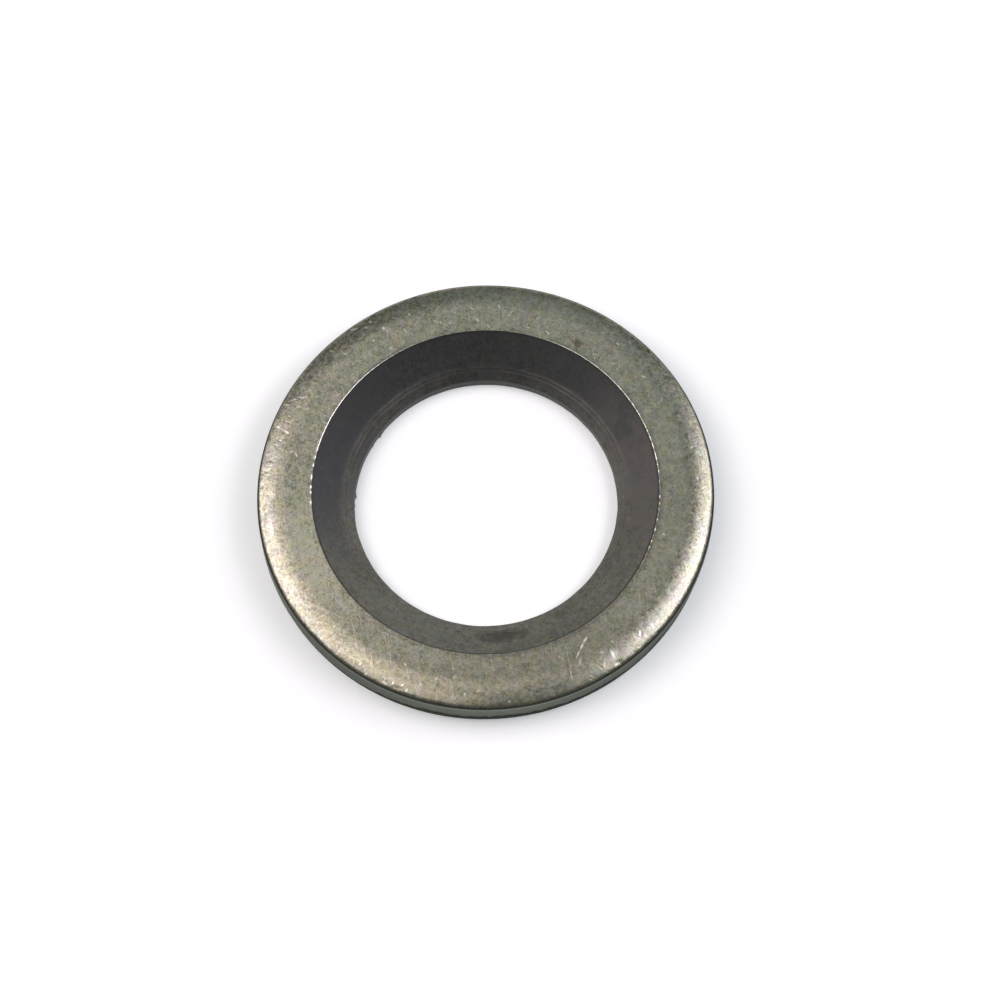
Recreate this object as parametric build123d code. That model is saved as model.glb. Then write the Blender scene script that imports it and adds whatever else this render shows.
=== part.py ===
from build123d import *
from math import radians, sin
import os

# Bonded sealing washer: a blanked steel ring with a rubber seal moulded into its bore.
# Millimetres. The axis is Z, the underside lies on Z = 0 and the seal's cone opens upwards.

# The two rings from the bore outwards, each width measured along the radius
seal_bore_diameter = 11.90  # takes the screw or union shank
seal_width = 1.875          # rubber, from the bore out to its bond with the steel
steel_width = 2.475         # steel, from the bond out to the wall
washer_thickness = 2.03     # the sheet that the steel is blanked from

# Outer edge of the steel: the sheet is drawn down beside the punch, then sheared, then torn
roll_width = 1.30           # how far in from the wall the top face starts to dip
roll_angle = 26.0           # slope of the dip where it meets the corner, in degrees
corner_radius = 0.35
tear_height = 0.75          # torn band at the foot of the sheared wall
tear_depth = 0.13           # how far the torn band draws in at the underside

# Rubber seal, bonded to the whole of the steel's bore below the set-down
seal_set_down = 0.08        # steel left bare above the rubber, where the mould shuts off
land_height = 0.55          # upright wall at the bore, from the underside to the cone's foot
lip_rounding = 0.12         # where the cone turns into the land
underside_rounding = 0.06   # where the land turns into the underside

# Pair of fine ridges that the joint between two mould rings leaves on the cone
ridge_count = 2
ridge_distance = 0.43       # from the cone's foot to the middle of the first ridge
ridge_spacing = 0.18
ridge_width = 0.10
ridge_height = 0.03

# Values worked out from the sizes above
seal_bore_radius = seal_bore_diameter / 2
bond_radius = seal_bore_radius + seal_width
washer_radius = bond_radius + steel_width
seal_top = washer_thickness - seal_set_down


def steel_section():
    """Half section of the steel ring: bore, top face, rolled edge, sheared wall, torn band."""
    bore_foot = (bond_radius, 0)
    bore_head = (bond_radius, washer_thickness)
    roll_start = (washer_radius - roll_width, washer_thickness)
    corner_start_radius = washer_radius - corner_radius * (1 - sin(radians(roll_angle)))
    roll_radius = (corner_start_radius - roll_start[0]) / sin(radians(roll_angle))
    with BuildSketch(Plane.XZ) as section:
        with BuildLine():
            Line(bore_foot, bore_head)
            Line(bore_head, roll_start)
            roll = JernArc(roll_start, (1, 0), roll_radius, -roll_angle)
            corner = JernArc(roll @ 1, roll % 1, corner_radius, roll_angle - 90)
            sheared = Line(corner @ 1, (washer_radius, tear_height))
            torn = Line(sheared @ 1, (washer_radius - tear_depth, 0))
            Line(torn @ 1, bore_foot)
        make_face()
    return section.sketch


def cone_point(distance):
    """Point on the cone's line, at a distance up the slope from its foot at the land."""
    foot = Vector(seal_bore_radius, land_height)
    head = Vector(bond_radius, seal_top)
    return foot + (head - foot).normalized() * distance


def seal_section():
    """Half section of the rubber: bonded wall, cone with its ridges, land and underside."""
    bond_foot = (bond_radius, 0)
    bond_head = (bond_radius, seal_top)
    with BuildSketch(Plane.XZ) as section:
        with BuildLine():
            land = Line((seal_bore_radius, 0), (seal_bore_radius, land_height))
            cone_end = land @ 1
            for ridge in range(ridge_count):
                middle = ridge_distance + ridge * ridge_spacing
                ridge_foot = cone_point(middle - ridge_width / 2)
                ridge_head = cone_point(middle + ridge_width / 2)
                Line(cone_end, ridge_foot)
                SagittaArc(ridge_foot, ridge_head, ridge_height)
                cone_end = ridge_head
            Line(cone_end, bond_head)
            Line(bond_head, bond_foot)
            Line(bond_foot, land @ 0)
        make_face()
        land_ends = section.vertices().group_by(Axis.X)[0].sort_by(Axis.Y)
        fillet(land_ends[0], underside_rounding)
        lip = section.vertices().group_by(Axis.X)[0].sort_by(Axis.Y)[-1]
        fillet(lip, lip_rounding)
    return section.sketch


def turned(section, name, colour):
    """Solid ring made by turning a half section about the washer's axis."""
    ring = revolve(section, axis=Axis.Z)
    ring.label = name
    ring.color = Color(*colour)
    return ring


rings = [
    turned(steel_section(), "steel_ring", (0.48, 0.46, 0.40)),
    turned(seal_section(), "rubber_seal", (0.07, 0.07, 0.065)),
]

os.makedirs("parts", exist_ok=True)
for ring in rings:
    export_step(ring, f"parts/{ring.label}.step")
    print(ring.label, round(ring.volume, 3), "cubic mm")
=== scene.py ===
import math

import bpy
import numpy as np
from mathutils import Matrix, Vector, noise


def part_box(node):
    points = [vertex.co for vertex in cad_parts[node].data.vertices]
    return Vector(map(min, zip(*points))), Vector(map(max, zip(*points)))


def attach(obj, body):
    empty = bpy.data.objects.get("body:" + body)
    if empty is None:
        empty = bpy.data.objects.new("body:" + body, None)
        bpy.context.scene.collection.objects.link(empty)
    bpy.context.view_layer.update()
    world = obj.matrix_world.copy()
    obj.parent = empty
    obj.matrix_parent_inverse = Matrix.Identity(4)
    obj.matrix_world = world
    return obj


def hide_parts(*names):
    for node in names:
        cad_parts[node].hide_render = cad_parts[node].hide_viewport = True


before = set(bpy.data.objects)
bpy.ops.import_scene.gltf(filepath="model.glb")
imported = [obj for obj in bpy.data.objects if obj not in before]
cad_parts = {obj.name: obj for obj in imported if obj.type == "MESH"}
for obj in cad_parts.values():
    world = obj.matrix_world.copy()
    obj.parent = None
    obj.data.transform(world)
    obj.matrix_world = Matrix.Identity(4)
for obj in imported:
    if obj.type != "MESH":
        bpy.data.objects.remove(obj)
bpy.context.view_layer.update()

# Lengths are millimetres unless a name says metres. Angles are degrees, anticlockwise from +X.
MM = 0.001
TURN = 2 * math.pi

# Sizes taken from the frame, so that the dressed rings keep the construction's own size
steel_low, steel_high = (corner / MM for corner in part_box("steel_ring"))
_, seal_high = (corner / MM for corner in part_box("rubber_seal"))
WASHER_RADIUS = min(steel_high.x, -steel_low.x, steel_high.y, -steel_low.y)
WASHER_THICKNESS = steel_high.z
SEAL_TOP = seal_high.z

# Steel edge and seal section, as in the construction
BOND_RADIUS = 7.825
ROLL_WIDTH = 1.30
ROLL_ANGLE = 26.0
CORNER_RADIUS = 0.35
TEAR_HEIGHT = 0.75
TEAR_DEPTH = 0.13
SEAL_BORE_RADIUS = 5.95
LAND_HEIGHT = 0.55
LIP_ROUNDING = 0.12
UNDERSIDE_ROUNDING = 0.06
RIDGE_DISTANCES = (0.43, 0.61)
RIDGE_WIDTH = 0.10
RIDGE_HEIGHT = 0.03

# Looks only
BURR_HEIGHT = 0.020         # the punched bore's burr stands this far above the top face
BURR_WIDTH = 0.055
STEEL_STEPS = 1080          # flats round the steel ring
SEAL_STEPS = 900
SMOOTH_ANGLE = 40           # edges sharper than this stay crisp
TOUCH = 1e-4                # points closer than this to a line or face lie on it

# Worked out from the sizes above: the arcs of the rolled edge, and where the upright wall starts
FACE = WASHER_THICKNESS - BURR_HEIGHT
STEEPNESS = math.sin(math.radians(ROLL_ANGLE))
LEVELNESS = math.cos(math.radians(ROLL_ANGLE))
ROLL_RADIUS = (ROLL_WIDTH - CORNER_RADIUS * (1 - STEEPNESS)) / STEEPNESS
ROLL_MIDDLE = (WASHER_RADIUS - ROLL_WIDTH, FACE - ROLL_RADIUS)
WALL_TOP = ROLL_MIDDLE[1] + (ROLL_RADIUS - CORNER_RADIUS) * LEVELNESS
CORNER_MIDDLE = (WASHER_RADIUS - CORNER_RADIUS, WALL_TOP)

# Camera: where it looks from, and what the picture takes in
CAMERA_ELEVATION = 68.55
CAMERA_ROLL = -2.39
NOMINAL_RADIUS = 10.3           # the washer's; the camera's distance and scale are given by it
CAMERA_DISTANCE = 18.0 * NOMINAL_RADIUS
PIXELS_PER_MM = 227.0 / NOMINAL_RADIUS
PICTURE_PIXELS = 1000
CENTRE_PIXEL = (486.1, 506.1)   # where the middle of the washer's underside falls
SENSOR_WIDTH = 36.0
NEAREST_SEEN = 0.005            # in metres
SIGHT_STEPS = 4                 # tries at where a line of sight meets the dipping face


# ---------------------------------------------------------------- places in the picture

def camera_axes():
    """The camera's directions: to its right, up its picture, and back from what it looks at."""
    elevation = math.radians(CAMERA_ELEVATION)
    roll = math.radians(CAMERA_ROLL)
    back = Vector((0, -math.cos(elevation), math.sin(elevation)))
    level = Vector((1, 0, 0))
    upright = back.cross(level)
    right = level * math.cos(roll) + upright * math.sin(roll)
    up = upright * math.cos(roll) - level * math.sin(roll)
    return right, up, back


def camera_place():
    """Where the camera stands: a little to one side, so that the washer sits off centre."""
    right, up, back = camera_axes()
    middle = PICTURE_PIXELS / 2
    offset = right * (middle - CENTRE_PIXEL[0]) + up * (CENTRE_PIXEL[1] - middle)
    return back * CAMERA_DISTANCE + offset / PIXELS_PER_MM


def top_height(radius):
    """Height of the steel's top face, flat first and then dipping over the roll."""
    past_flat = min(max(radius - ROLL_MIDDLE[0], 0), ROLL_RADIUS * STEEPNESS)
    return ROLL_MIDDLE[1] + math.sqrt(ROLL_RADIUS ** 2 - past_flat ** 2)


def on_top_face(pixel):
    """Plan position of the place on the steel's top face that a pixel shows."""
    right, up, back = camera_axes()
    start = camera_place()
    middle = PICTURE_PIXELS / 2
    sight = right * (pixel[0] - middle) + up * (middle - pixel[1])
    sight -= back * (CAMERA_DISTANCE * PIXELS_PER_MM)
    height = FACE
    for _ in range(SIGHT_STEPS):
        place = start + sight * ((height - start.z) / sight.z)
        height = top_height(math.hypot(place.x, place.y))
    return place.x, place.y


# ---------------------------------------------------------------- shader sums

class Term:
    """A number that varies over a surface. Sums written with it become Math nodes."""

    def __init__(self, finish, socket):
        self.finish = finish
        self.socket = socket

    def maths(self, operation, *others):
        inputs = dict(enumerate((self, *others)))
        return self.finish.node("ShaderNodeMath", {"operation": operation}, inputs)

    def __add__(self, other):
        return self.maths("ADD", other)

    def __sub__(self, other):
        return self.maths("SUBTRACT", other)

    def __mul__(self, other):
        return self.maths("MULTIPLY", other)

    def __truediv__(self, other):
        return self.maths("DIVIDE", other)

    def __rsub__(self, other):
        return self.finish.node("ShaderNodeMath", {"operation": "SUBTRACT"}, {0: other, 1: self})

    __radd__ = __add__
    __rmul__ = __mul__

    def __abs__(self):
        return self.maths("ABSOLUTE")

    def rise(self, low, high, top=1.0):
        """0 at low, top at high, and smooth between them. It falls where high is below low."""
        settings = {"interpolation_type": "SMOOTHSTEP"}
        inputs = {"Value": self, "From Min": low, "From Max": high, "To Max": top}
        return self.finish.node("ShaderNodeMapRange", settings, inputs)

    def larger(self, other):
        return self.maths("MAXIMUM", other)

    def clamped(self):
        return self.maths("MINIMUM", 1.0).maths("MAXIMUM", 0.0)


class Finish:
    """One material: a Principled shader and the nodes that feed it."""

    def __init__(self, name, **constants):
        self.material = bpy.data.materials.new(name)
        self.material.use_nodes = True
        self.tree = self.material.node_tree
        self.shader = self.tree.nodes["Principled BSDF"]
        for socket, value in constants.items():
            self.shader.inputs[socket.replace("_", " ")].default_value = value
        place = self.node("ShaderNodeTexCoord", output="Object")
        scaled = {0: place, "Scale": 1 / MM}
        self.place = self.node("ShaderNodeVectorMath", {"operation": "SCALE"}, scaled)
        self.x, self.y, self.z = self.split(self.place)
        self.radius = (self.x * self.x + self.y * self.y).maths("SQRT")

    def node(self, kind, settings=(), inputs=(), output=0):
        """Adds a node: its settings first, then its sockets' values or links."""
        made = self.tree.nodes.new(kind)
        for setting, value in dict(settings).items():
            setattr(made, setting, value)
        for socket, value in dict(inputs).items():
            if isinstance(value, Term):
                self.tree.links.new(value.socket, made.inputs[socket])
            else:
                made.inputs[socket].default_value = value
        return Term(self, made.outputs[output])

    def split(self, vector):
        made = self.node("ShaderNodeSeparateXYZ", (), {0: vector}).socket.node
        return tuple(Term(self, socket) for socket in made.outputs)

    def noise(self, per_mm, detail, roughness, place=None):
        """Soft random numbers about 0.5, with about that many bumps in a millimetre."""
        inputs = {
            "Vector": place or self.place,
            "Scale": per_mm,
            "Detail": detail,
            "Roughness": roughness,
        }
        return self.node("ShaderNodeTexNoise", {"noise_dimensions": "3D"}, inputs)

    def turned(self, middle, angle, stretch=(1.0, 1.0, 1.0)):
        """Place measured from a middle, along and across a direction."""
        settings = {"vector_type": "TEXTURE"}
        inputs = {
            "Vector": self.place,
            "Location": (*middle, 0.0),
            "Rotation": (0.0, 0.0, math.radians(angle)),
            "Scale": stretch,
        }
        return self.node("ShaderNodeMapping", settings, inputs)

    def distance(self, middle):
        """How far each place is from a point of the plan, in millimetres."""
        across, up, _ = self.split(self.turned(middle, 0))
        return (across * across + up * up).maths("SQRT")

    def attribute(self, name):
        return self.node("ShaderNodeAttribute", {"attribute_name": name}, output="Fac")

    def mixed(self, share, first, second, blend="MIX"):
        """A colour between two colours."""
        settings = {"data_type": "RGBA", "blend_type": blend}
        made = self.node("ShaderNodeMix", settings, {"Factor": share}).socket.node
        for socket, colour in ((made.inputs[6], first), (made.inputs[7], second)):
            if isinstance(colour, Term):
                self.tree.links.new(colour.socket, socket)
            else:
                socket.default_value = (*colour, 1.0)
        return Term(self, made.outputs[2])

    def bump(self, height, distance, strength):
        """Normals tilted by a height of 0 to 1, where 1 stands that many millimetres proud."""
        inputs = {"Height": height, "Distance": distance * MM, "Strength": strength}
        return self.node("ShaderNodeBump", (), inputs)

    def feed(self, **sockets):
        for socket, value in sockets.items():
            self.tree.links.new(value.socket, self.shader.inputs[socket.replace("_", " ")])


# ---------------------------------------------------------------- marks on the washer

# Lone marks on the top face. Each runs between two places in the camera's picture, in pixels from
# its top left corner, and has a half width in millimetres and a brightness from -1 to 1
MARKS = (
    # a long crooked scratch, and knocked metal beside it
    ((587, 637), (583.5, 642.5), 0.045, 0.9),
    ((583, 644), (580.5, 649), 0.050, 1.0),
    ((580, 650), (576, 658.5), 0.035, 0.8),
    ((581.5, 656), (579, 666), 0.040, 0.4),
    ((571, 663), (570, 670), 0.035, 0.3),
    ((570, 670), (573, 681), 0.035, 0.45),
    ((600, 652.5), (605, 652), 0.050, 0.5),
    ((610.5, 650), (615, 658), 0.060, 0.6),
    ((611.8, 641.2), (612.3, 641.9), 0.055, 0.4),
    ((604.8, 671.7), (609.4, 671.7), 0.050, 0.9),
    ((640, 631), (640, 635.5), 0.050, 1.0),
    ((642.2, 631), (642.2, 636), 0.045, -0.8),
    ((633, 633), (636, 638), 0.040, 0.4),
    # short nicks by the rim, across it
    ((267, 457), (273.5, 463.5), 0.035, -1.0),
    ((262.5, 470.3), (269, 473), 0.040, -0.8),
    ((261.4, 485.8), (263.3, 485.8), 0.060, -0.5),
    ((277, 426), (289, 434.5), 0.028, 0.45),
    ((277.5, 426.5), (279, 428), 0.055, 0.8),
    ((286, 431.6), (288.3, 433.3), 0.055, 0.9),
    ((284.4, 404.7), (288.5, 404.9), 0.055, 0.7),
    ((297.5, 406.8), (298.5, 407.2), 0.070, 0.5),
    ((307, 408.8), (308, 409.2), 0.060, 0.5),
    ((278.5, 442), (279.5, 442), 0.045, -0.6),
    ((280, 440.2), (281, 440.8), 0.045, 0.6),
    ((274.5, 446.5), (277, 449.5), 0.028, -0.4),
    ((274, 483.5), (284, 495), 0.028, -0.35),
    ((291.4, 451.3), (292, 452.1), 0.065, 0.5),
    ((295, 453), (297.6, 456.7), 0.045, 0.6),
    ((297.6, 456.9), (298.6, 458.6), 0.040, -0.5),
    # one long stroke that starts bright and ends as a thin dark line
    ((287, 402), (300, 398.3), 0.032, 0.6),
    ((300, 398.3), (308, 396.3), 0.040, 0.6),
    ((308, 396.3), (346, 387), 0.022, -0.45),
    # bright pecks, and a dent at the far rim
    ((351.9, 329.6), (357.6, 328.3), 0.060, 0.8),
    ((345, 334), (358, 330.5), 0.055, -0.7),
    ((365.5, 327.5), (366.5, 327.5), 0.065, 0.9),
    ((370, 322), (371, 322), 0.065, 0.9),
    ((383, 328), (384, 328), 0.065, 1.0),
    ((408.5, 313), (410, 315.5), 0.050, 0.6),
    ((392, 317.8), (397, 318.5), 0.060, 0.3),
    ((433, 320), (439, 323.5), 0.030, 0.45),
    ((329, 350), (334, 352.5), 0.045, 0.6),
    ((342.5, 353), (347, 354.3), 0.045, 0.5),
    ((373, 340.5), (374, 340.5), 0.060, 0.5),
    ((390.5, 347.5), (391.5, 348.5), 0.090, 0.35),
    # pecks and short strokes at the back
    ((476.4, 318.9), (478.6, 321.0), 0.045, 0.6),
    ((487.1, 324.6), (489.3, 326.8), 0.045, 0.55),
    ((497.8, 304.3), (500.0, 308.6), 0.032, 0.4),
    ((512.8, 310.7), (507.5, 316.1), 0.030, 0.4),
    ((525.7, 326.8), (530.0, 327.9), 0.034, 0.5),
    ((546.1, 331.1), (549.3, 334.3), 0.042, 0.6),
    ((616.8, 342.9), (618.9, 345.0), 0.048, 0.65),
    ((601.8, 332.1), (603.9, 333.2), 0.040, 0.45),
    ((592.1, 353.6), (599.6, 355.7), 0.028, 0.5),
    ((611.4, 362.1), (615.7, 364.3), 0.032, 0.45),
    ((440.0, 320.4), (441.1, 323.6), 0.034, 0.45),
    ((448.6, 322.5), (450.7, 323.6), 0.034, 0.4),
    ((470.0, 307.5), (474.3, 309.6), 0.030, 0.4),
    ((536.4, 319.3), (538.6, 317.1), 0.034, 0.4),
    ((642.5, 376.1), (644.6, 377.1), 0.042, 0.55),
    ((403.6, 327.9), (406.1, 332.1), 0.030, 0.4),
    # a smear and small flecks on the right
    ((670, 463), (701, 458), 0.160, -0.20),
    ((699.3, 527.5), (700.3, 532.9), 0.032, -0.6),
    ((700.7, 515.4), (701.7, 520.6), 0.030, -0.6),
    ((695.1, 541.5), (696.6, 545.9), 0.032, -0.5),
    ((703.6, 473.3), (707, 474.7), 0.030, -0.6),
    ((663.5, 534.2), (664.2, 534.7), 0.050, 0.6),
    # small bright pecks on the near side, painted bright partly as glints in the rim's highlight
    ((453.6, 678.2), (455.0, 675.6), 0.036, 0.6),
    ((435.2, 680.6), (436.8, 677.4), 0.034, 0.55),
    ((464.4, 695.2), (465.4, 692.8), 0.038, 0.8),
    ((477.4, 692.2), (478.6, 690.0), 0.036, 0.6),
    ((508.6, 702.4), (510.0, 701.2), 0.036, 0.8),
    ((489.6, 654.3), (491.0, 654.3), 0.036, 0.6),
    ((404.4, 663.4), (406.0, 665.6), 0.038, 0.75),
    ((405.6, 691.6), (407.6, 689.2), 0.040, 0.8),
    ((383.6, 681.8), (384.9, 679.4), 0.045, 0.9),
    ((392.4, 683.8), (393.6, 682.0), 0.045, 0.9),
    ((401.6, 685.6), (403.2, 684.4), 0.040, 0.8),
    ((365.0, 674.6), (366.5, 673.4), 0.045, 0.8),
    ((420.0, 685.2), (421.2, 683.4), 0.036, 0.6),
    ((321.0, 638.9), (322.0, 637.9), 0.045, 0.6),
    ((359.6, 664.6), (360.8, 663.2), 0.045, 0.6),
    ((287.2, 598.8), (287.9, 597.6), 0.045, 0.6),
)

# Knocks on the steel: angle, radius, half length round, half width across, depth
KNOCKS = (
    (-55.4, 9.72, 0.50, 0.34, 0.020),
    (-56.3, 10.06, 0.24, 0.16, 0.022),
    (-58.6, 9.91, 0.26, 0.24, 0.014),
    (-60.4, 10.17, 0.16, 0.12, 0.022),
    (-51.5, 10.12, 0.30, 0.16, 0.014),
    (-47.0, 10.15, 0.35, 0.16, 0.013),
    (0.7, 9.60, 0.14, 0.10, 0.020),
    (9.9, 9.55, 0.12, 0.10, 0.015),
    (168.7, 9.84, 0.10, 0.22, 0.020),
    (171.9, 9.96, 0.10, 0.20, 0.020),
    (175.9, 10.07, 0.10, 0.10, 0.020),
    (125.8, 10.02, 0.42, 0.12, 0.030),
    (-115.0, 10.1, 0.28, 0.14, 0.025),
    (-118.5, 10.05, 0.20, 0.12, 0.020),
    (150.5, 10.1, 0.30, 0.16, 0.015),
)
SCUFFING_DEPTH = 0.022          # a knock this deep is wholly scuffed

# The torn foot. The punch sat a little off centre, so it is taller and leans in more on one side
WIDE_SIDE = -22.0               # where the punch's clearance was widest, as an angle
TEAR_MEAN_HEIGHT = 0.66
TEAR_LEAN = 0.26                # how much taller the torn band is on the wide side than on average
TEAR_BULGE = 0.42               # and how much taller still close to the wide side
TEAR_BULGE_SPAN = 24.0
FOOT_MEAN_DEPTH = 0.10          # how far the torn band draws in at the underside
FOOT_DEPTH_LEAN = 0.05
BITE_DEPTH = 0.035              # roughness of the torn metal
ROLL_SWELL = 0.006              # unevenness of the rolled edge

# Places on the top face that only its colour shows
PALEST_PLACE = (-8.3, -3.0)      # the palest part of the top face
RUST_SPOT = (4.47, 6.96)
RUST_RADIUS = 0.25
MARK_REACH = 1000.0             # marks reach this far up and down, so their height never matters


# ---------------------------------------------------------------- turned rings

def arc_points(middle, radius, start, end, count):
    """Points on an arc of a section, from one angle to another, both ends included."""
    angles = np.radians(np.linspace(start, end, count))
    return [(middle[0] + radius * math.cos(a), middle[1] + radius * math.sin(a)) for a in angles]


def run_points(start, end, count):
    """Points on a straight run of a section, without its start."""
    shares = np.linspace(0, 1, count + 1)[1:]
    return [tuple(np.add(start, share * np.subtract(end, start))) for share in shares]


def steel_section():
    """Half section of the steel ring, from the foot of its bore over the top and round."""
    roll = arc_points(ROLL_MIDDLE, ROLL_RADIUS, 90, 90 - ROLL_ANGLE, 28)
    corner = arc_points(CORNER_MIDDLE, CORNER_RADIUS, 90 - ROLL_ANGLE, 0, 14)
    foot = (WASHER_RADIUS - TEAR_DEPTH, 0)
    points = [(BOND_RADIUS, 0), (BOND_RADIUS, SEAL_TOP), (BOND_RADIUS, FACE - BURR_HEIGHT)]
    points += [(BOND_RADIUS + 0.002, FACE + BURR_HEIGHT / 2)]
    points += [(BOND_RADIUS + BURR_WIDTH / 3, FACE + BURR_HEIGHT)]
    points += [(BOND_RADIUS + BURR_WIDTH, FACE)]
    points += run_points(points[-1], ROLL_MIDDLE[:1] + (FACE,), 14)[:-1]
    points += roll + corner[1:]
    points += run_points(corner[-1], (WASHER_RADIUS, TEAR_HEIGHT), 6)
    points += run_points(points[-1], foot, 10)
    points += run_points(foot, points[0], 4)[:-1]
    return points


def cone_point(distance, proud=0.0):
    """Point on the seal's cone, by its distance up the slope from the land."""
    foot = np.array((SEAL_BORE_RADIUS, LAND_HEIGHT))
    slope = np.array((BOND_RADIUS, SEAL_TOP)) - foot
    slope /= np.linalg.norm(slope)
    return tuple(foot + slope * distance + np.array((-slope[1], slope[0])) * proud)


def seal_section():
    """Half section of the rubber, from its underside up the land, the cone and the bond."""
    points = arc_points((SEAL_BORE_RADIUS + UNDERSIDE_ROUNDING, UNDERSIDE_ROUNDING),
                        UNDERSIDE_ROUNDING, 270, 180, 6)
    slope = math.degrees(math.atan2(SEAL_TOP - LAND_HEIGHT, BOND_RADIUS - SEAL_BORE_RADIUS))
    trim = LIP_ROUNDING * math.tan(math.radians(90 - slope) / 2)
    lip_middle = (SEAL_BORE_RADIUS + LIP_ROUNDING, LAND_HEIGHT - trim)
    points += run_points(points[-1], (SEAL_BORE_RADIUS, LAND_HEIGHT - trim), 5)[:-1]
    points += arc_points(lip_middle, LIP_ROUNDING, 180, 90 + slope, 8)
    for distance in RIDGE_DISTANCES:
        ridge_foot = cone_point(distance - RIDGE_WIDTH / 2)
        points += run_points(points[-1], ridge_foot, 3)
        for share in (0.2, 0.4, 0.6, 0.8):
            along = distance + (share - 0.5) * RIDGE_WIDTH
            points.append(cone_point(along, RIDGE_HEIGHT * math.sin(math.pi * share)))
        points.append(cone_point(distance + RIDGE_WIDTH / 2))
    points += run_points(points[-1], (BOND_RADIUS, SEAL_TOP), 18)
    points += run_points(points[-1], (BOND_RADIUS, 0), 2)
    points += run_points(points[-1], points[0], 4)[:-1]
    return points


def spun_ring(name, section, steps):
    """A closed ring turned from a section: a loop of vertices is set to its points and spun."""
    bpy.ops.object.select_all(action="DESELECT")
    bpy.ops.mesh.primitive_circle_add(vertices=len(section), radius=MM, location=(0, 0, 0))
    ring = bpy.context.object
    ring.name = name
    ring.data.name = name
    for vertex, (radius, height) in zip(ring.data.vertices, section):
        vertex.co = (radius * MM, 0, height * MM)
    turn = ring.modifiers.new("turn", "SCREW")
    turn.angle = TURN
    turn.steps = steps
    turn.render_steps = steps
    turn.use_merge_vertices = True
    turn.merge_threshold = MM * 0.0005
    bpy.ops.object.modifier_apply(modifier=turn.name)
    bpy.ops.object.mode_set(mode="EDIT")
    bpy.ops.mesh.select_all(action="SELECT")
    bpy.ops.mesh.normals_make_consistent(inside=False)
    bpy.ops.object.mode_set(mode="OBJECT")
    return ring


def read_points(ring):
    """Vertex positions in millimetres, as distance from the axis, angle and height."""
    flat = np.zeros(len(ring.data.vertices) * 3)
    ring.data.vertices.foreach_get("co", flat)
    x, y, z = flat.reshape(-1, 3).T / MM
    return np.hypot(x, y), np.degrees(np.arctan2(y, x)), z


def write_points(ring, radius, angle, height):
    turn = np.radians(angle)
    points = np.stack((radius * np.cos(turn), radius * np.sin(turn), height), axis=1)
    ring.data.vertices.foreach_set("co", (points * MM).ravel())
    ring.data.update()


def write_attribute(ring, name, values):
    layer = ring.data.attributes.new(name, "FLOAT", "POINT")
    layer.data.foreach_set("value", values.astype(np.float32))


def wander(angle, fewest, most, seed):
    """A seeded random line round the ring, from about -1 to 1, that meets itself."""
    waves = np.arange(fewest, most + 1)
    phases = np.random.default_rng(seed).uniform(0, TURN, len(waves))
    turns = np.radians(angle)[:, None] * waves + phases
    return np.cos(turns).sum(axis=1) / math.sqrt(len(waves) / 2) / 2


def grain(radius, angle, height, per_mm, seed):
    """Seeded soft noise at each point, from about -1 to 1."""
    turn = np.radians(angle)
    places = np.stack((radius * np.cos(turn), radius * np.sin(turn), height), axis=1) * per_mm
    shift = Vector((seed * 17.3, seed * 5.1, seed * 9.7))
    return np.array([noise.noise(Vector(place) + shift) for place in places])


def bell(offset, half_width):
    """1 at the middle and nearly 0 a half width away."""
    return np.exp(-2.5 * (offset / half_width) ** 2)


def angle_gap(angle, middle):
    """Signed angle from a middle, within half a turn."""
    return (angle - middle + 180) % 360 - 180


def within(angle, start, end, soft):
    """1 between two angles and 0 outside, with soft ends."""
    half = (end - start) / 2
    gap = np.abs(angle_gap(angle, (start + end) / 2))
    return np.clip((half + soft / 2 - gap) / soft, 0, 1)


def shade(ring, material):
    ring.data.materials.clear()
    ring.data.materials.append(material)
    bpy.ops.object.select_all(action="DESELECT")
    ring.select_set(True)
    bpy.context.view_layer.objects.active = ring
    bpy.ops.object.shade_smooth_by_angle(angle=math.radians(SMOOTH_ANGLE))


# ---------------------------------------------------------------- the steel ring

# Colours are shares of red, green and blue. Where a finish drifts between two, both are given
WARM_STEEL = ((0.347, 0.358, 0.248), (0.377, 0.350, 0.256))
COOL_STEEL = ((0.343, 0.356, 0.296), (0.373, 0.347, 0.304))
BURNISHED_STEEL = ((0.17, 0.19, 0.165), (0.23, 0.25, 0.22))
TORN_STEEL = ((0.040, 0.043, 0.037), (0.135, 0.145, 0.125))
# painted dark reflection on the corner between the rolled edge and the wall
PAINTED_DARK_CORNER = (0.035, 0.034, 0.030)
LINED_STEEL = (0.66, 0.61, 0.52)
BRIGHT_STEEL_AND_GLINT = (1.0, 0.95, 0.84)
DARK_STEEL = (0.10, 0.09, 0.07)
SCUFFED_STEEL = (0.62, 0.58, 0.48)
BURR_STEEL_AND_GLINT = (0.92, 0.90, 0.83)
RUST = (0.15, 0.095, 0.080)


def burr_share(angle):
    """How much burr the punched bore has kept at each angle; the same share sets where the burr is
    painted bright, partly as a painted highlight.
    """
    left = within(angle, 114, 184, 10)
    right = 0.75 * within(angle, -30, 66, 12)
    far = 0.12 * within(angle, 66, 114, 10)
    broken = np.clip(0.5 + 1.2 * wander(angle, 60, 190, 5), 0, 1)
    dashes = within(angle, -34, 4, 6) + within(angle, 165, 190, 6)
    whole = np.clip(left + right + far, 0, 1) * (1 - dashes * (1 - broken))
    return whole * (0.75 + 0.25 * broken)


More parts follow.
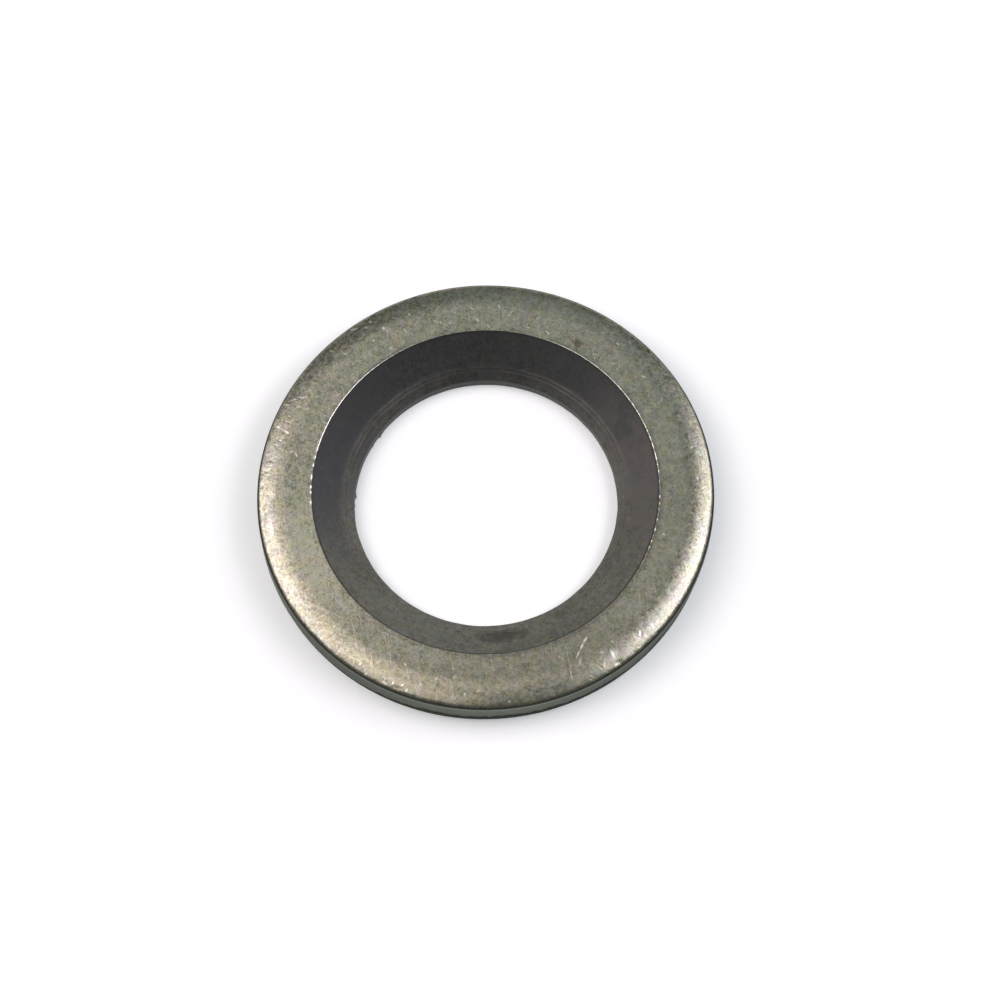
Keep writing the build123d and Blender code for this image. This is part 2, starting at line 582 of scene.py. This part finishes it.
def torn_foot(radius, angle, height):
    """Moves the wall's points so that the sheet is torn below a wavering line, bitten and leaning
    in. The third result is how far down the torn band each point lies, from 0 to 1."""
    lean = np.cos(np.radians(angle - WIDE_SIDE))
    line = TEAR_MEAN_HEIGHT + TEAR_LEAN * lean
    line += TEAR_BULGE * bell(angle_gap(angle, WIDE_SIDE), TEAR_BULGE_SPAN)
    line += 0.08 * wander(angle, 4, 30, 11) + 0.05 * wander(angle, 40, 120, 12)
    line += 0.03 * wander(angle, 120, 260, 13)

    at_wall = radius > WASHER_RADIUS - TEAR_DEPTH - 0.01
    on_wall = at_wall & (height < WALL_TOP) & (height > TOUCH)
    torn = on_wall & (height < TEAR_HEIGHT + TOUCH)
    lower = height * line / TEAR_HEIGHT
    upper = WALL_TOP - (WALL_TOP - height) * (WALL_TOP - line) / (WALL_TOP - TEAR_HEIGHT)
    height = np.where(torn, lower, np.where(on_wall, upper, height))
    torn |= at_wall & (height < TOUCH)
    depth = np.where(torn, 1 - height / line, 0)

    rough = np.clip(0.5 + grain(radius, angle, height, 5.0, 3), 0, 1)
    rough += 0.5 * np.clip(0.5 + grain(radius, angle, height, 12.0, 4), 0, 1)
    bitten = BITE_DEPTH * rough * np.clip(depth * 5, 0, 1) * np.clip((1 - depth) * 5, 0, 1)
    drawn_in = (FOOT_MEAN_DEPTH + FOOT_DEPTH_LEAN * lean) * depth
    return np.where(torn, WASHER_RADIUS - drawn_in - bitten, radius), height, depth


def knocked(radius, angle, height):
    """Sinks the knocks into the steel. The third result is how scuffed each point is."""
    scuffed = np.zeros(len(radius))
    for middle, place, along, across, sunk in KNOCKS:
        round_gap = angle_gap(angle, middle) * np.radians(1) * radius
        share = bell(round_gap, along) * bell(radius - place, across)
        share = np.where(height > WALL_TOP, share, 0)
        uneven = 0.75 + 0.5 * grain(radius, angle, height, 3.0, 6)
        height = height - sunk * share * uneven
        radius = radius - sunk * 0.6 * share * (radius > WASHER_RADIUS - CORNER_RADIUS)
        scuffed = np.maximum(scuffed, share * (sunk / SCUFFING_DEPTH))
    return radius, height, scuffed


def work_steel(ring):
    """Marks that the press and rough handling leave on the steel, as real shape."""
    radius, angle, height = read_points(ring)
    at_bore = np.abs(radius - BOND_RADIUS) < BURR_WIDTH * 0.9
    burr = burr_share(angle)
    raised = at_bore & (height > FACE + TOUCH)
    height[raised] = (FACE + (height - FACE) * burr)[raised]
    radius, height, depth = torn_foot(radius, angle, height)
    radius, height, scuffed = knocked(radius, angle, height)

    swell = ROLL_SWELL * wander(angle, 3, 14, 21)
    on_roll = (height > WALL_TOP) & (radius > WASHER_RADIUS - ROLL_WIDTH)
    bend = np.clip((radius - WASHER_RADIUS + ROLL_WIDTH) / ROLL_WIDTH, 0, 1)
    height = height - np.where(on_roll, np.abs(swell) * bend, 0)

    write_points(ring, radius, angle, height)
    write_attribute(ring, "torn", np.clip(depth * 12, 0, 1))
    write_attribute(ring, "foot", depth)
    write_attribute(ring, "burr", np.where(at_bore & (height > SEAL_TOP - 0.02), burr, 0.0))
    write_attribute(ring, "scuffed", scuffed)


def mark_masks(finish):
    """The lone marks: how bright they make the steel, and how dark."""
    masks = {1: None, -1: None}
    for start_pixel, end_pixel, half_width, tone in MARKS:
        start = on_top_face(start_pixel)
        end = on_top_face(end_pixel)
        middle = ((start[0] + end[0]) / 2, (start[1] + end[1]) / 2)
        along = math.degrees(math.atan2(end[1] - start[1], end[0] - start[0]))
        half_length = math.dist(start, end) / 2 + half_width * 1.2
        place = finish.turned(middle, along, (half_length, half_width * 1.2, MARK_REACH))
        settings = {"gradient_type": "SPHERICAL"}
        inside = finish.node("ShaderNodeTexGradient", settings, {"Vector": place}, "Fac")
        mark = inside.rise(0.0, 0.55, abs(tone))
        sign = 1 if tone > 0 else -1
        masks[sign] = masks[sign].larger(mark) if masks[sign] else mark
    return masks[1], masks[-1]


def hairlines(finish, angle, per_mm, length, threshold, seed):
    """Fine straight scratches that run one way, broken up at random."""
    along = finish.turned((seed * 3.7, seed * 1.3), angle, (length, 1.0, 1.0))
    lines = finish.noise(per_mm, 1.0, 0.4, along).rise(threshold, threshold + 0.07)
    patches = finish.noise(0.9, 2.0, 0.5, finish.turned((seed * 5.1, -seed), 0)).rise(0.42, 0.62)
    return lines * patches


def streaks(finish):
    """Short soft strokes that cross one another, as tumbling leaves them."""
    total = None
    for seed, angle in enumerate((156, 42, 98), start=4):
        along = finish.turned((seed * 2.9, seed * 4.3), angle, (5.0, 1.0, 1.0))
        stroke = finish.noise(10.0, 2.0, 0.6, along) - 0.5
        total = total + stroke if total else stroke
    return total


def scratch_lines(finish):
    """Hairlines in three directions."""
    lines = hairlines(finish, 152, 6.5, 9.0, 0.60, 1)
    lines = lines.larger(hairlines(finish, 38, 7.0, 8.0, 0.61, 2))
    return lines.larger(hairlines(finish, 100, 6.0, 9.0, 0.61, 3))


def face_hue(finish):
    """The top face's own colour: four close brown-greys that drift into one another."""
    red_share = finish.noise(2.3, 3.0, 0.6, finish.turned((11.0, 4.0), 30)).rise(0.36, 0.64)
    blue_share = finish.noise(2.0, 3.0, 0.6, finish.turned((-6.0, 9.0), 70)).rise(0.36, 0.64)
    warm = finish.mixed(red_share, *WARM_STEEL)
    cool = finish.mixed(red_share, *COOL_STEEL)
    return finish.mixed(blue_share, warm, cool)


def face_tone(finish, blotches, mottle, speckle):
    """A grey that makes the top face's own colour paler or darker from place to place: at random,
    paler in a patch on the left, and darker towards the near side and by the bore.
    """
    tone = (speckle - 0.5) * 1.35 + (mottle - 0.5) * 1.2 + (blotches - 0.5) * 0.4
    tone = tone + streaks(finish) * 0.7
    flanks = finish.radius.rise(9.0, 9.5) * abs(finish.x).rise(4.0, 8.0)
    near_side = 1 - finish.y.rise(-9.0, -5.0)
    tone = tone * (flanks * (finish.x * 0.022 + 0.4) - finish.x * 0.04 - near_side * 0.2 + 1.0)
    flat = 1 - finish.radius.rise(8.9, 9.4)
    pale_patch = (1 - finish.distance(PALEST_PLACE).rise(0.5, 4.2)) * flat
    bore_edge = 1 - finish.radius.rise(BOND_RADIUS + 0.05, BOND_RADIUS + 0.30)
    near_right = (finish.x * 0.64 - finish.y * 0.77).rise(3.0, 7.0)
    tone = tone + pale_patch * 0.36 - bore_edge * (near_right * 0.2 + 0.15)
    tone = tone - near_right * flat * 0.06 - near_side * flat * 0.12
    return finish.mixed((tone + 0.5).clamped(), (0.58, 0.58, 0.58), (1.42, 1.42, 1.42))


def steel_side(finish, mottle, speckle, torn):
    """The burnished wall, the torn metal below it, and a painted dark reflection on the corner above
    it.
    """
    band = finish.mixed(mottle, *BURNISHED_STEEL)
    # the torn metal grows paler towards the foot, flecked by grain
    flecks_paler_to_foot = (finish.attribute("foot").rise(0.25, 0.9) + 0.25) * speckle.rise(0.3, 0.65)
    broken = finish.mixed(flecks_paler_to_foot.clamped(), *TORN_STEEL)
    side = finish.mixed(torn, band, broken)
    # painted dark reflection: the corner above the wall is painted near-black
    corner = finish.z.rise(WALL_TOP + 0.07, WALL_TOP + 0.16)
    return finish.mixed(corner, side, PAINTED_DARK_CORNER)


def tumbled_steel():
    """Satin brown-grey steel: mottled and finely scratched on top, burnished and torn at the side."""
    finish = Finish("tumbled_steel", Metallic=1.0, Specular_Tint=(0.4, 0.4, 0.38, 1.0))
    blotches = finish.noise(0.8, 3.0, 0.6)
    mottle = finish.noise(4.2, 4.0, 0.62)
    speckle = finish.noise(11.0, 2.0, 0.6)
    lines = scratch_lines(finish)
    bright, dark = mark_masks(finish)

    tone = face_tone(finish, blotches, mottle, speckle)
    face = finish.mixed(1.0, face_hue(finish), tone, "MULTIPLY")
    face = finish.mixed(lines * 0.22, face, LINED_STEEL)
    # bright marks are scratches and pecks; on the near side they are partly painted glints
    face = finish.mixed(bright, face, BRIGHT_STEEL_AND_GLINT)
    face = finish.mixed(dark * 0.85, face, DARK_STEEL)
    face = finish.mixed((finish.attribute("scuffed") * 0.4).clamped(), face, SCUFFED_STEEL)
    rust_gap = finish.distance(RUST_SPOT) / RUST_RADIUS + (mottle - 0.5) * 2.0
    face = finish.mixed((1 - rust_gap.rise(0.4, 1.2)) * 0.7, face, RUST)

    torn = finish.attribute("torn")
    top = finish.z.rise(WALL_TOP + 0.19, WALL_TOP + 0.29)
    colour = finish.mixed(top, steel_side(finish, mottle, speckle, torn), face)
    # the burr is painted near-white: partly bright sheared metal, partly a painted highlight
    colour = finish.mixed(finish.attribute("burr") * 0.85, colour, BURR_STEEL_AND_GLINT)

    roughness = 0.33 + (mottle - 0.5) * 0.25 + (speckle - 0.5) * 0.15 - lines * 0.06 + torn * 0.3
    height = mottle * 0.6 + speckle * 0.25 + blotches * 0.8 - lines * 0.25
    finish.feed(
        Base_Color=colour,
        Roughness=roughness.clamped(),
        Normal=finish.bump(height, 0.015, 0.65),
    )
    return finish.material


def steel_ring():
    ring = spun_ring("pressed_steel_ring", steel_section(), STEEL_STEPS)
    work_steel(ring)
    shade(ring, tumbled_steel())
    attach(ring, "root")
    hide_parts("steel_ring")


# ---------------------------------------------------------------- the rubber seal

# Crumbs of flash on the lip's lower edge: angle, half their span, how far they stand out
FLASH = ((173.0, 2.2, 0.07), (177.5, 1.2, 0.04), (142.0, 2.5, 0.05), (148.0, 1.5, 0.03))
FLASH_HEIGHT = 0.30             # flash grows weaker up to this height
UNEVENNESS = 0.012              # of the lip and the lower cone
RIDGE_WEAR = 0.75               # share of the ridges' height that is rubbed off at the back
SMUDGE = (0.55, -6.68)
SMUDGE_SIZE = (1.15, 0.42)
PLAIN_RUBBER = (0.018, 0.019, 0.018)
NEAR_SIDE_PAINTED_LIGHT = (0.088, 0.090, 0.069)
LIP_PAINTED_HIGHLIGHT = (0.078, 0.077, 0.060)
BROWN_RUBBER = (0.070, 0.060, 0.050)
SMUDGE_BROWN = (0.034, 0.028, 0.023)
RIM_PAINTED_SHADE = (0.012, 0.012, 0.012)
WORN_RUBBER_AND_HIGHLIGHT = (0.12, 0.116, 0.10)
WARM_TINT = (1.06, 1.0, 0.84)
COOL_TINT = (0.95, 1.0, 1.14)


def lowered_ridges(radius, height, worn_away):
    """The cone's ridges, with a share of their height rubbed off at each point."""
    foot = cone_point(0)
    slope = np.subtract(cone_point(1), foot)
    proud = (height - foot[1]) * slope[0] - (radius - foot[0]) * slope[1]
    on_ridge = (proud > TOUCH) & (height > LAND_HEIGHT) & (radius > SEAL_BORE_RADIUS + 0.2)
    drop = np.where(on_ridge & (radius < BOND_RADIUS - 0.1), proud * worn_away, 0)
    return radius + drop * slope[1], height - drop * slope[0]


def work_seal(ring):
    """Moulding marks and wear: rubbed ridges, a slightly uneven lip, flash on its lower edge."""
    radius, angle, height = read_points(ring)
    worn_away = RIDGE_WEAR * bell(angle_gap(angle, 90), 75)
    radius, height = lowered_ridges(radius, height, worn_away)
    low = np.clip(1 - height / FLASH_HEIGHT, 0, 1) * (radius < SEAL_BORE_RADIUS + 0.15)
    for middle, half_span, proud in FLASH:
        share = bell(angle_gap(angle, middle), half_span)
        radius = radius - proud * share * low * (1 + 0.5 * wander(angle, 90, 200, 33))
    inner = radius < SEAL_BORE_RADIUS + 1.2
    radius = radius + np.abs(UNEVENNESS * wander(angle, 3, 20, 31) * inner)
    write_points(ring, radius, angle, height)


def smudge_share(finish, mottle):
    """How much of the smudge each place of the cone holds."""
    across, up, _ = finish.split(finish.turned(SMUDGE, 4.0))
    gap = (across / SMUDGE_SIZE[0]) * (across / SMUDGE_SIZE[0])
    gap = gap + (up / SMUDGE_SIZE[1]) * (up / SMUDGE_SIZE[1]) + (mottle - 0.5) * 2.2
    return (1 - gap.rise(-0.3, 1.7)) * 0.9


def ridge_wear_and_highlight(finish):
    """Where the mould ridges are painted pale, partly as wear and partly as a painted highlight on
    their crests: in patches, to the left and the right.
    """
    ridge_lines = None
    for distance in RIDGE_DISTANCES:
        ridge_radius = cone_point(distance)[0]
        line = 1 - (abs(finish.radius - ridge_radius) / RIDGE_WIDTH).rise(0.1, 1.0)
        ridge_lines = ridge_lines.larger(line) if ridge_lines else line
    flanks = finish.y.rise(-3.0, 1.0) * abs(finish.x).rise(1.0, 4.5)
    return ridge_lines * flanks * finish.noise(1.4, 2.0, 0.5).rise(0.35, 0.65)


def rubber_tone(finish, cloud, mottle, speckle, near):
    """A colour that makes the rubber paler, darker, warmer or cooler from place to place, with
    painted shade on the far left of the cone and painted light on its near left.
    """
    far_left = (1 - finish.x.rise(-6.5, -2.5)) * finish.y.rise(-2.0, 2.0)
    near_left = (1 - finish.x.rise(-4.0, 0.0)) * near
    tone = (mottle - 0.5) * 1.9 + (speckle - 0.5) * 2.0 + (cloud - 0.5) * 0.6
    # painted shade darkens the far left of the cone, painted light pales its near left
    tone = tone - far_left * 0.50 + near_left * 0.16
    tone = finish.mixed((tone + 0.5).clamped(), (0.5, 0.5, 0.5), (1.5, 1.5, 1.5))
    hue = finish.noise(2.6, 3.0, 0.65, finish.turned((3.0, -8.0), 20)).rise(0.3, 0.7)
    return finish.mixed(1.0, tone, finish.mixed(hue, WARM_TINT, COOL_TINT), "MULTIPLY")


def seal_rubber():
    """Near-black moulded rubber, matte: painted light on its near side, a painted highlight by the
    lip, painted shade where it meets the steel, and mould ridges painted pale, partly as wear and
    partly as a painted highlight.
    """
    finish = Finish("seal_rubber", IOR=1.5, Specular_IOR_Level=0.5)
    cloud = finish.noise(0.9, 3.0, 0.6)
    mottle = finish.noise(3.5, 4.0, 0.65)
    speckle = finish.noise(12.0, 2.0, 0.6)
    # painted light: the cone is painted paler towards its near side
    near = 1 - (finish.y - finish.x * 0.12).rise(-5.0, 2.5)
    colour = finish.mixed(near, PLAIN_RUBBER, NEAR_SIDE_PAINTED_LIGHT)
    # painted highlight: the inner cone by the lip is painted paler at the sides
    pale = (1 - finish.radius.rise(6.42, 6.72)) * (1 - finish.y.rise(0.0, 8.0))
    pale = pale * finish.y.rise(-6.0, -1.0)
    colour = finish.mixed((pale * (cloud + 0.45)).clamped(), colour, LIP_PAINTED_HIGHLIGHT)
    tone = rubber_tone(finish, cloud, mottle, speckle, near)
    colour = finish.mixed(1.0, colour, tone, "MULTIPLY")

    right_side = finish.x.rise(3.5, 7.0) * finish.y.rise(-4.5, -1.0) * (1 - finish.y.rise(3.0, 6.0))
    brown = right_side * cloud.rise(0.30, 0.6)
    colour = finish.mixed(brown * 0.7, colour, BROWN_RUBBER)
    smudge = smudge_share(finish, mottle)
    colour = finish.mixed(smudge, colour, SMUDGE_BROWN)
    # painted shade: a dark ring on the rubber right at the steel, standing in for the shadow of the
    # steel's edge
    rim = finish.radius.rise(BOND_RADIUS - 0.12, BOND_RADIUS - 0.05)
    colour = finish.mixed(rim * 0.8, colour, RIM_PAINTED_SHADE)
    # ridges painted pale: partly wear, partly a painted highlight on their crests
    colour = finish.mixed(ridge_wear_and_highlight(finish) * 0.3, colour, WORN_RUBBER_AND_HIGHLIGHT)

    roughness = 0.55 + (mottle - 0.5) * 0.4 + (cloud - 0.5) * 0.15 + smudge * 0.15
    finish.feed(
        Base_Color=colour,
        Roughness=roughness.clamped(),
        Normal=finish.bump(mottle * 0.6 + speckle * 0.4, 0.012, 0.6),
    )
    return finish.material


def rubber_seal():
    ring = spun_ring("moulded_rubber_seal", seal_section(), SEAL_STEPS)
    work_seal(ring)
    shade(ring, seal_rubber())
    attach(ring, "root")
    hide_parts("rubber_seal")


# ---------------------------------------------------------------- studio

FLOOR_WIDTH = 3.0               # in metres
FLOOR_DROP = 0.00001            # in metres, so that the underside and the floor don't flicker
FLOOR_WHITE = (0.90, 0.90, 0.90)
FLOOR_ROUGHNESS = 0.9
FLOOR_GLOW = (0.87, 1.0, 0.99)
FLOOR_GLOW_STRENGTH = 0.195
SURROUND = (0.90, 1.0, 0.93)
SURROUND_STRENGTH = 0.167


def studio_floor():
    bpy.ops.object.select_all(action="DESELECT")
    bpy.ops.mesh.primitive_plane_add(size=FLOOR_WIDTH, location=(0, 0, -FLOOR_DROP))
    floor = bpy.context.object
    floor.name = "studio_floor"
    material = bpy.data.materials.new("white_table")
    material.use_nodes = True
    shader = material.node_tree.nodes["Principled BSDF"]
    shader.inputs["Base Color"].default_value = (*FLOOR_WHITE, 1)
    shader.inputs["Roughness"].default_value = FLOOR_ROUGHNESS
    shader.inputs["Emission Color"].default_value = (*FLOOR_GLOW, 1)
    shader.inputs["Emission Strength"].default_value = FLOOR_GLOW_STRENGTH
    floor.data.materials.append(material)


# Lamp colours: the left of the room is a little warm and the back a little cool
WARM = (1.0, 0.87, 0.83)
PLAIN = (1.0, 0.955, 0.985)
ROSE = (1.0, 0.895, 0.99)
MILKY = (0.95, 0.90, 1.0)
COOL = (0.76, 0.91, 1.0)

# Soft lights round the washer: name, height above the table and direction round it in degrees,
# width in metres, strength in watts, colour
SOFTBOXES = (
    ("left_key", 62, 135, 0.20, 0.14, WARM),
    ("left_side", 62, 180, 0.20, 0.25, WARM),
    ("left_front", 62, 225, 0.20, 0.21, WARM),
    ("left_low", 42, 180, 0.22, 0.43, ROSE),
    ("left_back", 42, 151, 0.22, 0.33, ROSE),
    ("left_wall", 22, 162, 0.22, 0.34, PLAIN),
    ("left_corner", 44, 210, 0.18, 0.05, PLAIN),
    ("overhead", 82, 135, 0.14, 0.08, WARM),
    ("right_key", 62, 0, 0.20, 0.165, MILKY),
    ("right_low", 42, 0, 0.22, 0.55, MILKY),
    ("right_wall", 22, 24, 0.22, 0.42, MILKY),
    ("right_front", 53, 339, 0.18, 0.205, MILKY),
    ("right_back", 42, 24, 0.20, 0.23, MILKY),
    ("back_high", 62, 90, 0.20, 0.038, COOL),
    ("back_low", 42, 72, 0.22, 0.048, COOL),
    ("back_wall", 22, 90, 0.22, 0.015, COOL),
)
LIGHT_DISTANCE = 0.5            # in metres


def polar(angle, radius):
    """Plan position of a point given by its angle and its distance from the axis."""
    return radius * math.cos(math.radians(angle)), radius * math.sin(math.radians(angle))


def softbox(name, elevation, azimuth, width, strength, colour):
    """A soft square light, aimed at the washer."""
    lamp = bpy.data.lights.new(name, "AREA")
    lamp.size = width
    lamp.energy = strength
    lamp.color = colour
    flat = math.cos(math.radians(elevation))
    towards = Vector((*polar(azimuth, flat), math.sin(math.radians(elevation))))
    stand = bpy.data.objects.new(name, lamp)
    stand.location = towards * LIGHT_DISTANCE
    stand.rotation_euler = towards.to_track_quat("Z", "Y").to_euler()
    bpy.context.scene.collection.objects.link(stand)


def studio_lights():
    for box in SOFTBOXES:
        softbox(*box)
    world = bpy.data.worlds.new("studio")
    world.use_nodes = True
    background = world.node_tree.nodes["Background"]
    background.inputs["Color"].default_value = (*SURROUND, 1)
    background.inputs["Strength"].default_value = SURROUND_STRENGTH
    bpy.context.scene.world = world


def studio_camera():
    lens = bpy.data.cameras.new("camera")
    lens.sensor_width = SENSOR_WIDTH
    lens.lens = PIXELS_PER_MM * CAMERA_DISTANCE * SENSOR_WIDTH / PICTURE_PIXELS
    lens.clip_start = NEAREST_SEEN
    camera = bpy.data.objects.new("camera", lens)
    turn = Matrix(camera_axes()).transposed()
    camera.matrix_world = turn.to_4x4()
    camera.location = camera_place() * MM
    bpy.context.scene.collection.objects.link(camera)
    bpy.context.scene.camera = camera


steel_ring()
rubber_seal()
studio_floor()
studio_lights()
studio_camera()
bpy.context.scene.view_settings.view_transform = "Standard"
